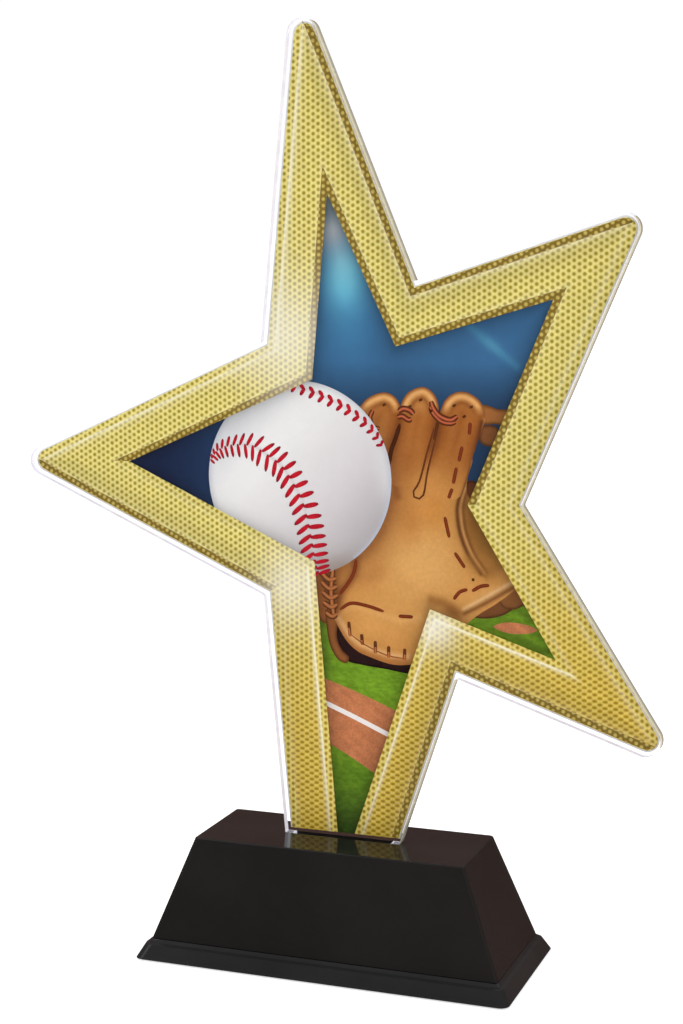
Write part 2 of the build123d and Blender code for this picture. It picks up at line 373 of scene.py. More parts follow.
class Grain(Enum):
    """Fine texture within a printed picture: lumps in a metre, stretch, and lightest and darkest share."""

    AIR = (220.0, (1, 1, 1), 0.97, 1.03)
    HIDE = (1500.0, (1, 1, 1), 0.985, 1.012)
    LEATHER = (1500.0, (1, 1, 1), 0.95, 1.04)
    GRASS = (1500.0, (0.55, 1, 1), 0.80, 1.18)
    CLAY = (2300.0, (1, 1, 1), 0.86, 1.12)
    THREAD = (2600.0, (1, 1, 0.5), 0.80, 1.12)


@dataclass(frozen=True)
class PrintedInk:
    """Ink of the picture: the painted colours with a fine texture of their own."""

    grain: Grain

    def build(self) -> Material:
        """The sheet's painted colour times two sizes of noise, the broad one six tenths as strong."""
        g = Graph(f"print_{self.grain.name.lower()}")
        scale, stretch, low, high = self.grain.value
        fine = g.grain(scale, 4, stretch).step(0.3, 0.7, (low, high))
        broad = g.grain(scale * 0.17, 3, stretch).step(0.3, 0.7, (0.4 + 0.6 * low, 0.4 + 0.6 * high))
        colour = g.dimmed(g.value_of("paint", "Color"), fine * broad)
        return g.finish(
            Base_Color=colour, Roughness=g.grain(400, 2).step(0.3, 0.7, (0.4, 0.5)), Specular_IOR_Level=0.0
        )


@dataclass(frozen=True)
class MouldedBlack:
    """Polished black moulded plastic with a faint warm cast and a hardly visible flow pattern."""

    name: str = "black_plastic"
    dark: Rgb = (27, 27, 26)
    light: Rgb = (33, 32, 31)
    gloss: tuple[float, float] = (0.04, 0.08)
    shine: float = 0.16

    def build(self) -> Material:
        """Near-black colour and fine roughness changes from noise."""
        g = Graph(self.name)
        return g.finish(
            Base_Color=g.blend(g.grain(35, 4, (1, 2.5, 1)).step(0.3, 0.7), self.dark, self.light),
            Roughness=g.grain(140, 3).step(0.3, 0.7, self.gloss),
            Specular_IOR_Level=self.shine,
            Normal=g.bump(g.grain(900, 2), 0.000002, 0.25),
        )


@dataclass(frozen=True)
class Stock:
    """A plain workshop material: two colours mixed by noise, with bump and roughness from noise."""

    name: str
    one: Rgb
    two: Rgb
    lumps: float
    rough: tuple[float, float]
    metal: float = 0.0
    depth: float = 0.00001
    stretch: tuple = (1, 1, 1)

    def build(self) -> Material:
        """Noise drives the colour, the roughness and a shallow bump."""
        g = Graph(self.name)
        noise = g.grain(self.lumps, 4, self.stretch)
        return g.finish(
            Base_Color=g.blend(noise.step(0.3, 0.7), self.one, self.two),
            Roughness=g.grain(self.lumps * 0.4, 3, self.stretch).step(0.3, 0.7, self.rough),
            Metallic=self.metal,
            Normal=g.bump(noise, self.depth, 0.6),
        )


# ---- flat shapes


def bell(far: Points, width: float) -> Points:
    """e to the minus squared share of the width: 1 in the middle, and faded at twice the width."""
    return np.exp(-((far / width) ** 2))


def rise(value: Points, width: float) -> Points:
    """Grows evenly from 0 at zero to 1 at the width."""
    return np.clip(value / width, 0, 1)


def looped(outline: Points) -> Points:
    """The outline with its first point again at its end."""
    return np.vstack([outline, outline[:1]])


def smooth_path(points: Sequence, count: int = 60, closed: bool = False) -> Points:
    """A curve through every point, each span a cubic whose slope at a point is half the step between
    that point's neighbours.

    Args:
        points: Places (x, z) in millimetres.
        count: Samples along the whole curve.
        closed: Whether the curve comes back to its first point.

    Returns:
        Samples, shape (count, 2).
    """
    p = np.asarray(points, float)
    if closed:
        before, after, further = np.roll(p, 1, 0), np.roll(p, -1, 0), np.roll(p, -2, 0)
    else:
        ends = np.vstack([2 * p[0] - p[1], p, 2 * p[-1] - p[-2]])
        before, after, further = ends[:-3], p[1:], ends[3:]
    t = np.linspace(0, len(before), count, endpoint=not closed)
    i = np.minimum(t.astype(int), len(before) - 1)
    f = (t - i)[:, None]
    a, b, c, d = before[i], p[i], after[i], further[i]
    return 0.5 * (2 * b + (c - a) * f + (2 * a - 5 * b + 4 * c - d) * f**2 + (3 * b - a - 3 * c + d) * f**3)


def even_path(points: Points, count: int, closed: bool = False) -> Points:
    """The same line cut into equal lengths, by interpolating each coordinate over the length run so far."""
    p = looped(points) if closed else np.asarray(points, float)
    run = np.concatenate([[0], np.cumsum(np.linalg.norm(np.diff(p, axis=0), axis=1))])
    at = np.linspace(0, run[-1], count, endpoint=not closed)
    return np.stack([np.interp(at, run, p[:, 0]), np.interp(at, run, p[:, 1])], 1)


def reach_to(points: Points, path: Points) -> tuple[Points, Points]:
    """Distance from each point to a line of short runs, and the side it lies on.

    Args:
        points: Places, shape (n, 2).
        path: The line, shape (m, 2).

    Returns:
        Distances, and +1 on the line's left or -1 on its right.
    """
    a, b = path[:-1], path[1:]
    run = b - a
    rel = points[:, None, :] - a[None]
    share = np.clip((rel * run).sum(-1) / np.maximum((run * run).sum(-1), 1e-12), 0, 1)
    off = rel - share[..., None] * run
    far = np.hypot(off[..., 0], off[..., 1])
    k = far.argmin(1)
    rows = np.arange(len(points))
    side = run[k, 0] * rel[rows, k, 1] - run[k, 1] * rel[rows, k, 0]
    return far[rows, k], np.where(side >= 0, 1.0, -1.0)


def strip(path: Points, width: Union[float, Points], across: int) -> Points:
    """A ribbon: each point of the path moved sideways along its normal by a share of the half width.

    Args:
        path: Centre line, shape (n, 2).
        width: Full width in millimetres, one or one per point.
        across: Points across it.

    Returns:
        Grid, shape (n, across, 2).
    """
    along = np.gradient(path, axis=0)
    along /= np.maximum(np.linalg.norm(along, axis=1, keepdims=True), 1e-9)
    normal = np.stack([-along[:, 1], along[:, 0]], 1)
    half = np.broadcast_to(np.asarray(width, float) / 2, len(path))
    return path[:, None, :] + normal[:, None, :] * (half[:, None] * np.linspace(-1, 1, across))[..., None]


def between(one: Points, other: Points, across: int) -> Points:
    """A grid of straight lines from each sample of one curve to the same sample of the other."""
    v = np.linspace(0, 1, across)[None, :, None]
    return one[:, None, :] * (1 - v) + other[:, None, :] * v


def fan(outline: Points, centre: tuple[float, float], rings: int) -> Points:
    """A closed grid of the outline shrunk towards its centre, ring by ring."""
    middle = np.asarray(centre, float)
    return middle + (looped(outline)[:, None, :] - middle) * np.linspace(0, 1, rings)[None, :, None]


def quads_of(n: int, m: int) -> Points:
    """The four corners of each face of a grid of n by m points."""
    k = np.arange(n * m).reshape(n, m)
    return np.stack([k[:-1, :-1], k[1:, :-1], k[1:, 1:], k[:-1, 1:]], -1).reshape(-1, 4)


class Paint:
    """Colours of a grid's points, built up with soft brushes in paint-card numbers."""

    def __init__(self, grid: Points, ground: Rgb) -> None:
        """Starts every point in the ground colour."""
        self.grid, self.at = grid, grid.reshape(-1, 2)
        self.rgb = np.tile(np.asarray(ground, float), (len(self.at), 1))

    def wash(self, rgb: Rgb, amount: Union[float, Points]) -> None:
        """Mixes a colour in by an amount, one or one per point."""
        a = np.clip(np.broadcast_to(amount, len(self.at)), 0, 1)[:, None]
        self.rgb = self.rgb * (1 - a) + np.asarray(rgb, float) * a

    def dim(self, share: Points) -> None:
        """Multiplies the colours."""
        self.rgb = self.rgb * share[:, None]

    def spot(
        self, x: float, z: float, wide: float, high: float, rgb: Rgb, amount: float, turn: float = 0.0
    ) -> None:
        """Soft oval: the amount falls as e to the minus squared distance in radii.

        Args:
            x: Middle across.
            z: Middle up.
            wide: Radius along the oval.
            high: Radius across the oval.
            rgb: Its colour.
            amount: Strength at the middle.
            turn: Degrees it is turned anticlockwise.
        """
        c, s = cos(radians(turn)), sin(radians(turn))
        dx, dz = self.at[:, 0] - x, self.at[:, 1] - z
        self.wash(rgb, amount * bell(dx * c + dz * s, wide) * bell(dz * c - dx * s, high))

    def line(self, points: Sequence, width: float, rgb: Rgb, amount: float, side: int = 0) -> None:
        """Soft line along a curve, or the shading on one side of it.

        Args:
            points: Places the curve goes through.
            width: Distance at which the colour has faded.
            rgb: Its colour.
            amount: Strength on the line.
            side: 0 for both sides, 1 for the left side only, -1 for the right side only.
        """
        far, hand = reach_to(self.at, smooth_path(points, 8 * len(points)))
        self.wash(rgb, amount * bell(far, width) * (1 if side == 0 else hand == side))

    def slope(self, start: tuple, end: tuple, rgb: Rgb, amount: float) -> None:
        """Eases a colour in from nothing at start to the amount at end."""
        run = np.subtract(end, start)
        t = rise((self.at - np.asarray(start, float)) @ run, run @ run)
        self.wash(rgb, amount * t * t * (3 - 2 * t))


class Sheet:
    """A printed layer gathered from grids, all facing forwards at one depth."""

    def __init__(self, name: str, depth: float) -> None:
        """Starts an empty layer at this depth, in metres."""
        self.name, self.depth, self.count = name, depth, 0
        self.lifts: list[Points] = []
        self.points: list[Points] = []
        self.faces: list[Points] = []
        self.values: dict[str, list[Points]] = {}

    def add(self, grid: Points, **values: Points) -> None:
        """Adds a grid, turned so that it faces forwards, a little off the one before it.

        Args:
            grid: Places (x, z) in millimetres, shape (n, m, 2).
            values: Colours, shape (n*m, 3), or numbers, shape (n*m,).
        """
        quads = quads_of(*grid.shape[:2])
        p = grid.reshape(-1, 2)
        a, c = p[quads[:, 2]] - p[quads[:, 0]], p[quads[:, 3]] - p[quads[:, 1]]
        if (a[:, 0] * c[:, 1] - a[:, 1] * c[:, 0]).sum() < 0:
            quads = quads[:, ::-1]
        self.faces.append(quads + self.count)
        self.points.append(p)
        self.lifts.append(np.full(len(p), len(self.lifts) % LIFTS * LIFT))
        for key, value in values.items():
            self.values.setdefault(key, []).append(value)
        self.count += len(p)

    def show(self, paint: Paint, reach: float = 1.0, depth: float = 0.0) -> None:
        """Adds a painted grid, shaded by the gold edge over this reach in millimetres and by this depth."""
        paint.dim(LINES.window_shadow(paint.at, reach, depth))
        self.add(paint.grid, paint=paint.rgb)

    def build(self) -> Piece:
        """Makes the mesh, with its colours and other values as attributes of its points."""
        p = np.vstack(self.points) * MM
        co = np.stack([p[:, 0], self.depth - np.concatenate(self.lifts), p[:, 1]], 1)
        piece = mesh_piece(self.name, co, np.vstack(self.faces))
        for key, parts in self.values.items():
            joined = np.concatenate(parts)
            if joined.ndim == 2:
                made = piece.data.attributes.new(key, "FLOAT_COLOR", "POINT")
                made.data.foreach_set("color", linear(joined).ravel())
            else:
                piece.data.attributes.new(key, "FLOAT", "POINT").data.foreach_set("value", joined)
        piece.data.validate()
        return piece


def mesh_piece(name: str, co: Points, quads: Points) -> Piece:
    """A linked object with these points, in metres, and these faces."""
    mesh = bpy.data.meshes.new(name)
    mesh.from_pydata(co.tolist(), [], quads.tolist())
    return linked(name, mesh)


def linked(name: str, data: bpy.types.ID) -> Piece:
    """A new object with this data, linked to the scene."""
    made = bpy.data.objects.new(name, data)
    bpy.context.scene.collection.objects.link(made)
    return made


def fit_out(piece: Piece, finish: Material, slot: str, *nodes: str) -> Piece:
    """Gives one of the star's pieces its finish and its body, and hides the CAD nodes it stands for.

    Args:
        piece: The finished piece.
        finish: Its material.
        slot: The record's material slot; not used.
        nodes: CAD nodes that it replaces.

    Returns:
        The same piece.
    """
    piece.data.materials.clear()
    piece.data.materials.append(finish)
    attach(piece, "star")
    if nodes:
        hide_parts(*nodes)
    log.info("%s: %d points, %d faces", piece.name, len(piece.data.vertices), len(piece.data.polygons))
    return piece


# ---- the star's outlines


@dataclass
class StarLines:
    """The star's two outlines in millimetres: gold edge and picture window, tips and notches in turn."""

    width: float = 147.2
    height: float = 179.3
    base: float = 26.4
    tip_radius: float = 2.3
    outer_shares: tuple = (
        (-0.066, 1.000), (-0.116, 0.591), (-0.519, 0.444), (-0.115, 0.295), (-0.048, -0.320),
        (0.168, 0.214), (0.481, 0.127), (0.259, 0.412), (0.430, 0.744), (0.106, 0.659),
    )
    window_shares: tuple = (
        (-0.024, 0.767), (-0.048, 0.551), (-0.342, 0.446), (-0.046, 0.334), (-0.006, -0.048),
        (0.130, 0.285), (0.314, 0.235), (0.185, 0.410), (0.305, 0.646), (0.078, 0.591),
    )

    def __post_init__(self) -> None:
        """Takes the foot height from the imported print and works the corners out."""
        self.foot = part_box("gold_border_film")[0].z / MM
        scale, up = np.array([self.width, self.height]), np.array([0, self.base])
        self.outer, self.window = (np.array(s) * scale + up for s in (self.outer_shares, self.window_shares))

    @staticmethod
    def moved(corners: Points, by: float) -> Points:
        """The outline moved outwards: each corner goes to where its two moved sides cross.

        Args:
            corners: Anticlockwise corners.
            by: Distance outwards, or inwards if it is negative.

        Returns:
            The new corners.
        """
        before, after = corners - np.roll(corners, 1, 0), np.roll(corners, -1, 0) - corners
        before /= np.linalg.norm(before, axis=1, keepdims=True)
        after /= np.linalg.norm(after, axis=1, keepdims=True)
        n1, n2 = (np.stack([way[:, 1], -way[:, 0]], 1) for way in (before, after))
        return corners + by * (n1 + n2) / (1 + (n1 * n2).sum(1, keepdims=True))

    def side(self, corners: Points, i: int, count: int, radius: float = 0.0) -> Points:
        """Samples of one side, stopped at the print's foot, with half of each rounded corner at its ends.

        Args:
            corners: The outline's corners.
            i: Which corner the side starts from.
            count: Samples.
            radius: Radius of rounded tips, which are the even corners but the one below the foot.

        Returns:
            Samples, shape (count, 2).
        """
        j = (i + 1) % len(corners)
        a, b = corners[i], corners[j]
        if a[1] < self.foot:
            a = a + (b - a) * (self.foot - a[1]) / (b[1] - a[1])
        if b[1] < self.foot:
            b = b + (a - b) * (self.foot - b[1]) / (a[1] - b[1])
        line = a + (b - a) * np.linspace(0, 1, count)[:, None]
        for k in (i, j):
            if radius and k % 2 == 0 and corners[k, 1] > self.foot:
                line = self.rounded(line, corners, k, radius)
        return line

    @staticmethod
    def rounded(line: Points, corners: Points, k: int, radius: float) -> Points:
        """Pulls the samples that lie past a rounded tip's arc back on to the arc, towards its centre.

        Args:
            line: Samples of a side.
            corners: The outline's corners.
            k: The rounded corner.
            radius: The arc's radius.

        Returns:
            The samples with the tip's own on its arc.
        """
        tip = corners[k]
        u, w = corners[k - 1] - tip, corners[(k + 1) % len(corners)] - tip
        u, w = u / np.linalg.norm(u), w / np.linalg.norm(w)
        axis = (u + w) / np.linalg.norm(u + w)
        half = np.sqrt((1 - (u @ w)) / 2)
        centre = tip + axis * radius / half
        rel = line - centre
        far = np.linalg.norm(rel, axis=1, keepdims=True)
        past = (rel @ axis)[:, None] < -radius * half
        return np.where(past, centre + rel * radius / np.maximum(far, 1e-9), line)

    def window_shadow(self, points: Points, reach: float, depth: float) -> Points:
        """1 less the gold edge's soft shade on the picture: depth times e to the minus reaches away."""
        return 1 - depth * np.exp(-(reach_to(points, looped(self.window))[0] / reach))


LINES = StarLines()


# ---- gold border


@dataclass
class GoldBorder:
    """The printed gold border: ten bands between outline and window, with bevel strips and ridges."""

    bevel: float = 1.6
    along: int = 44
    stations: tuple = (
        0, 0.12, 0.24, 0.5, 0.8, 0.93, 1, 1.03, 1.07, 1.12, 1.3, 1.6, 1.85, 1.93, 1.97, 2, 2.07, 2.2, 2.6, 3,
    )
    outer_tone: tuple = (1.03, 1.03, 0.72, 0.95, 0.74, 0.74, 0.97, 0.97, 0.72, 0.72)
    inner_tone: tuple = (0.72, 0.68, 0.94, 1.06, 1.0, 1.0, 0.97, 0.70, 0.68, 0.70)
    outer_ridge: tuple = (0.75, 0.6, 0.12, 0.1, 0.1, 0.1, 0.25, 0.25, 0.35, 0.35)
    inner_ridge: tuple = (0.12, 0.1, 0.1, 0.85, 0.75, 0.85, 0.2, 0.15, 0.15, 0.15)
    cut_tone: float = 1.12
    full_shade: float = 0.26
    glows: tuple = (
        (-13.0, 134.0, 9.0, 12.0, 0.52), (-12.0, 81.0, 7.0, 8.0, 0.5), (20.5, 73.5, 4.2, 4.2, 0.62),
        (-18.0, 128.0, 8.0, 5.0, 0.3),
    )

    def band(self, i: int) -> tuple[Points, dict[str, Points]]:
        """One side's grid: straight blends between outline, outline moved in, window moved out, window.

        Args:
            i: Which corner the side starts from.

        Returns:
            The grid, and its tone, face, ridge and glow.
        """
        inset, outset = LINES.moved(LINES.outer, -self.bevel), LINES.moved(LINES.window, self.bevel)
        rows = [LINES.side(LINES.outer, i, self.along, LINES.tip_radius)]
        rows += [LINES.side(corners, i, self.along) for corners in (inset, outset, LINES.window)]
        s = np.array(self.stations, float)
        k = np.minimum(s.astype(int), 2)
        f = (s - k)[None, :, None]
        stack = np.stack(rows, 1)
        grid = stack[:, k] * (1 - f) + stack[:, k + 1] * f
        outer, inner = self.outer_tone[i], self.inner_tone[i]
        tone = np.where(s < 1, outer, np.where(s > 2, inner, 1.0))
        tone = np.where(s <= 0.1, self.cut_tone, tone)
        dark = [(1 - min(side, 1)) / self.full_shade for side in (outer, inner)]
        shade = 0.16 * dark[0] * bell(s - 1.2, 0.25) * (s > 1)
        tone = tone * (1 - shade - 0.14 * dark[1] * bell(s - 2.02, 0.3) * (s > 2))
        ridge = self.outer_ridge[i] * bell(s - 1, 0.09) + self.inner_ridge[i] * bell(s - 2, 0.07)
        x, z = grid.reshape(-1, 2).T
        glow = [amount * bell(x - at, wide) * bell(z - up, high) for at, up, wide, high, amount in self.glows]
        fade = 0.75 + 0.25 * np.sin(np.linspace(0, pi, self.along))
        return grid, {
            "tone": np.tile(tone, self.along),
            "face": np.tile((s >= 1) & (s <= 2), self.along).astype(float),
            "ridge": np.outer(fade, ridge).ravel(),
            "glow": np.max(glow, 0),
        }

    def build(self, finish: Material, depth: float) -> None:
        """Joins the ten bands, lays them at the print's depth and dresses them."""
        sheet = Sheet("gold_border", depth)
        for i in range(len(LINES.outer)):
            grid, values = self.band(i)
            sheet.add(grid, **values)
        fit_out(sheet.build(), finish, "gold_print", "gold_border_film")


# ---- picture


@dataclass
class Printed:
    """What the picture's parts share: the back of their film, in metres, and an ink for each grain."""

    back: float
    inks: dict

    def layer(self, name: str, steps: float) -> Sheet:
        """An empty layer, this many steps in front of the film's back."""
        return Sheet(name, self.back - steps * STEP)

    def lay(self, sheet: Sheet, grain: Grain, *nodes: str) -> None:
        """Builds a layer and dresses it in the ink of this grain."""
        fit_out(sheet.build(), self.inks[grain], "picture_print", *nodes)


@dataclass
class Backdrop(Printed):
    """The picture's ground: evening sky with stadium glow, and the playing field."""

    overlap: float = 3.0
    navy: Rgb = (24, 40, 68)
    blue: Rgb = (54, 97, 136)
    cyan: Rgb = (104, 190, 214)
    haze: Rgb = (172, 174, 176)
    grass: Rgb = (106, 143, 36)
    clay: Rgb = (198, 124, 82)
    chalk: Rgb = (238, 230, 224)
    path_top: tuple = ((-9.5, 62.6), (-4.75, 61), (2.5, 58.6), (10, 55.75), (15, 53.5))
    path_low: tuple = ((-9, 48.6), (-3.5, 46.5), (0.8, 44.4), (5, 42), (9, 39.6))
    far_clay: tuple = ((33, 74.6), (35, 75.6), (38, 75.75), (41, 75.2), (42.2, 74.4), (40, 73.6), (36, 73.5))
    chalk_run: tuple = ((-8.5, 57.6), (-4.75, 55.75), (2.4, 52.9), (9.25, 50), (13, 48.4))

    def sky(self) -> None:
        """The whole window as rings round its middle, painted from dark left to glowing top."""
        edge = LINES.moved(LINES.window, self.overlap)
        outline = np.vstack([LINES.side(edge, i, 48)[:-1] for i in range(len(edge))])
        p = Paint(fan(outline, (0, 104), 90), self.navy)
        x, z = p.at.T
        p.wash(self.blue, rise(x + 42, 38) ** 1.2)
        p.wash((30, 54, 80), 0.85 * rise(129 - z, 10) * rise(x + 9, 6))
        p.spot(30, 132, 12, 5, (62, 108, 150), 0.6)
        p.spot(1, 137, 7, 9, (62, 118, 158), 0.8)
        p.spot(0.3, 146.5, 5, 7, self.cyan, 0.95)
        p.spot(0, 150, 3.4, 5.5, (140, 186, 198), 0.5)
        p.spot(-2.4, 156.5, 3.6, 4.5, self.haze, 0.9)
        p.spot(-3.5, 163, 4, 4, (112, 120, 112), 0.8)
        p.line([(26.5, 137.4), (32, 133), (37.5, 128.6)], 0.75, (74, 142, 172), 0.55)
        p.spot(32, 133, 2.6, 1, (96, 168, 192), 0.45, -40)
        sheet = self.layer("sky_print", 1)
        sheet.show(p, 2, 0.26)
        self.lay(sheet, Grain.AIR, "picture_film")

    def turf(self) -> None:
        """Two patches of grass: rows between the window's lower edges, and the lower right point."""
        z = np.linspace(LINES.foot, 82, 150)
        w = LINES.window
        left = np.interp(z, [w[4, 1], w[3, 1]], [w[4, 0], w[3, 0]]) - 2.5
        right = np.interp(z, [w[4, 1], w[5, 1]], [w[4, 0], w[5, 0]]) + 2.5
        low = even_path(np.array([(18, 74.5), (47.5, 65.8)]), 70)
        high = even_path(np.array([(30, 92), (48, 68)]), 70)
        sheet = self.layer("grass_print", 2)
        for grid in (between(np.stack([left, z], 1), np.stack([right, z], 1), 60), between(low, high, 50)):
            p = Paint(grid, self.grass)
            x, z = p.at.T
            p.spot(5, 63, 8, 4, (114, 156, 40), 0.8)
            p.wash((92, 128, 34), 0.9 * rise(48 - z, 8))
            p.wash((58, 86, 32), 0.9 * rise(38 - z, 9))
            p.wash((88, 118, 38), 0.75 * bell(x + 5.5, 2.2))
            p.wash((84, 112, 36), 0.5 * (0.5 + 0.5 * np.sin(2.4 * z + 0.9 * x)) * (z > 66) * (x > 20))
            sheet.show(p, 1.4, 0.28)
        self.lay(sheet, Grain.GRASS)

    def ground(self) -> None:
        """The clay path and the far patch of clay, and the chalk line in front of them."""
        clay = self.layer("clay_print", 3)
        band = between(smooth_path(self.path_low, 90), smooth_path(self.path_top, 90), 44)
        for grid in (band, fan(smooth_path(self.far_clay, 90, True), (37.6, 74.6), 10)):
            p = Paint(grid, self.clay)
            x, z = p.at.T
            p.wash((172, 106, 72), 0.15 * (1 + np.sin(1.7 * x + 2.3 * z)))
            clay.show(p, 1.8, 0.30)
        self.lay(clay, Grain.CLAY)
        chalk = self.layer("chalk_line", 4)
        chalk.show(Paint(strip(smooth_path(self.chalk_run, 80), 1.05, 5), self.chalk), 1.2, 0.22)
        self.lay(chalk, Grain.HIDE)


@dataclass(frozen=True)
class StitchRow:
    """How a row of stitches runs, given at shares of its seam: lengths in millimetres, leans in degrees."""

    at: tuple
    spacing: tuple
    upper: tuple
    upper_lean: tuple
    lower: tuple
    lower_lean: tuple
    thick: tuple
    stagger: float
    dull: float


@dataclass
class Ball(Printed):
    """The printed ball: a shaded white disc with two curved rows of red chevron stitches."""

    centre: tuple[float, float] = (-10.3, 104)
    radius: float = 20.9
    white: Rgb = (231, 229, 227)
    red: Rgb = (200, 28, 44)
    dark_red: Rgb = (124, 26, 42)
    seam_shade: Rgb = (206, 196, 196)
    main_seam: tuple = (
        (-30.8, 107.2), (-29, 109.5), (-25.7, 110.7), (-21, 110.7), (-17.7, 109), (-14.3, 106.7),
        (-11.7, 103.3), (-9.5, 99.3), (-8.3, 95.3), (-7.6, 92), (-7, 88.7), (-6.3, 85.3), (-5.7, 83.6),
    )
    main_row: StitchRow = StitchRow(
        at=(0, 0.08, 0.2, 0.3, 0.42, 0.5, 0.62, 0.75, 0.88, 1),
        spacing=(0.9, 1.25, 1.7, 2, 2.15, 2.25, 2.35, 2.25, 1.9, 1),
        upper=(0.9, 2.1, 3, 3.5, 3.4, 3.3, 3.4, 3.6, 3.5, 3),
        upper_lean=(50, 34, 26, 26, 9, 7, 6, 4, -2, -2),
        lower=(1.2, 2.4, 3, 3.8, 3.7, 3.6, 3.7, 3.7, 3.5, 2.8),
        lower_lean=(-8, -4, 8, 18, 25, 23, 22, 27, 26, 24),
        thick=(0.55, 0.64, 0.74, 0.84, 0.95, 1.02, 1.04, 1.02, 0.95, 0.75),
        stagger=0.25,
        dull=0.5,
    )
    top_seam: tuple = (
        (-14, 124.6), (-11, 123.8), (-7, 122.7), (-3.5, 121.3), (0, 119.8), (2.5, 118.2), (4.7, 116.6),
        (6.5, 114.8), (8, 112.8), (9, 110.6),
    )
    top_row: StitchRow = StitchRow(
        at=(0, 0.3, 0.7, 1),
        spacing=(2, 2.3, 2.2, 1.6),
        upper=(1.2, 1.5, 1.5, 0.9),
        upper_lean=(-58, -60, -60, -46),
        lower=(1.7, 2, 1.9, 1.4),
        lower_lean=(-18, -20, -22, -14),
        thick=(0.8, 0.86, 0.82, 0.6),
        stagger=-0.1,
        dull=0.9,
    )
    taper: tuple = (0.45, 0.85, 1, 1.05, 1, 0.85, 0.35)
    dark_ends: tuple = (0.6, 0.15, 0, 0, 0.1, 0.45, 0.95)

    def skin(self) -> None:
        """A disc of rings, lit from the upper left: the shade grows along the line to the lower right."""
        turn = np.linspace(0, 2 * pi, 220, endpoint=False)
        ring = np.stack([np.cos(turn), np.sin(turn)], 1) * self.radius + np.array(self.centre)
        p = Paint(fan(ring, self.centre, 80), self.white)
        x, z = p.at.T
        slant = (x + 18) * 0.75 - (z - 108) * 0.66
        p.wash((212, 206, 207), rise(slant - 1, 15))
        p.wash((160, 154, 156), 0.8 * rise(slant - 15, 14) ** 1.3)
        p.wash((204, 205, 208), 0.8 * rise(-slant - 3, 7))
        p.spot(9.3, 106, 2.2, 8, (214, 212, 212), 0.75, 14)
        p.spot(-15, 88, 10, 4, (196, 192, 190), 0.5)
        r = np.hypot(x - self.centre[0], z - self.centre[1]) / self.radius
        p.wash((176, 180, 190), 0.5 * rise(r - 0.93, 0.07))
        p.spot(-1, 84.5, 6, 3.4, (140, 124, 112), 0.75, 14)
        p.wash((186, 200, 222), 0.55 * rise(r - 0.965, 0.035) * (x > 2) * (z < 108))
        p.line(self.main_seam, 0.5, self.seam_shade, 0.7)
        p.line(self.top_seam, 0.4, self.seam_shade, 0.6)
        sheet = self.layer("ball_print", 8.6)
        sheet.show(p, 1.6, 0.20)
        self.lay(sheet, Grain.HIDE)

    def chevrons(self, sheet: Sheet, seam: Sequence, row: StitchRow) -> None:
        """Pairs of tapered stitches along a seam, from the seam out to both sides and leaning along it.

        Args:
            sheet: The layer they are added to.
            seam: Points of the seam's centre line.
            row: How the stitches' spacing, length, lean and width run along the seam.
        """
        path = even_path(smooth_path(seam, 400), 600)
        last = len(path) - 1
        total = np.linalg.norm(np.diff(path, axis=0), axis=1).sum()
        share = np.linspace(0, 1, len(path))
        density = 1 / np.interp(share, row.at, row.spacing)
        count = np.concatenate([[0], np.cumsum((density[1:] + density[:-1]) / 2 * total / last)])
        along = np.gradient(path, axis=0)
        along /= np.linalg.norm(along, axis=1, keepdims=True)
        t = np.linspace(0, 1, len(self.taper))[:, None]
        for m in np.interp(np.arange(0.5, count[-1]), count, share):
            k = int(round(m * last))
            wide = np.interp(m, row.at, row.thick)
            for hand, arm, lean in ((-1, row.lower, row.lower_lean), (1, row.upper, row.upper_lean)):
                a = radians(np.interp(m, row.at, lean))
                way = np.array([-along[k, 1], along[k, 0]]) * hand * cos(a) + along[k] * sin(a)
                start = path[k] + along[k] * hand * row.stagger - way * 0.15
                line = start + way * np.interp(m, row.at, arm) * t
                paint = Paint(strip(line, wide * np.array(self.taper), 3), self.red)
                paint.wash(self.dark_red, np.repeat(self.dark_ends, 3) + row.dull * abs(m - 0.55))
                paint.dim(0.93 + 0.07 * np.tile([0.4, 1, 0.6], len(t)))
                sheet.show(paint)

    def stitches(self) -> None:
        """Both rows of stitches as one layer."""
        sheet = self.layer("ball_stitches", 9.4)
        self.chevrons(sheet, self.main_seam, self.main_row)
        self.chevrons(sheet, self.top_seam, self.top_row)
        self.lay(sheet, Grain.THREAD)


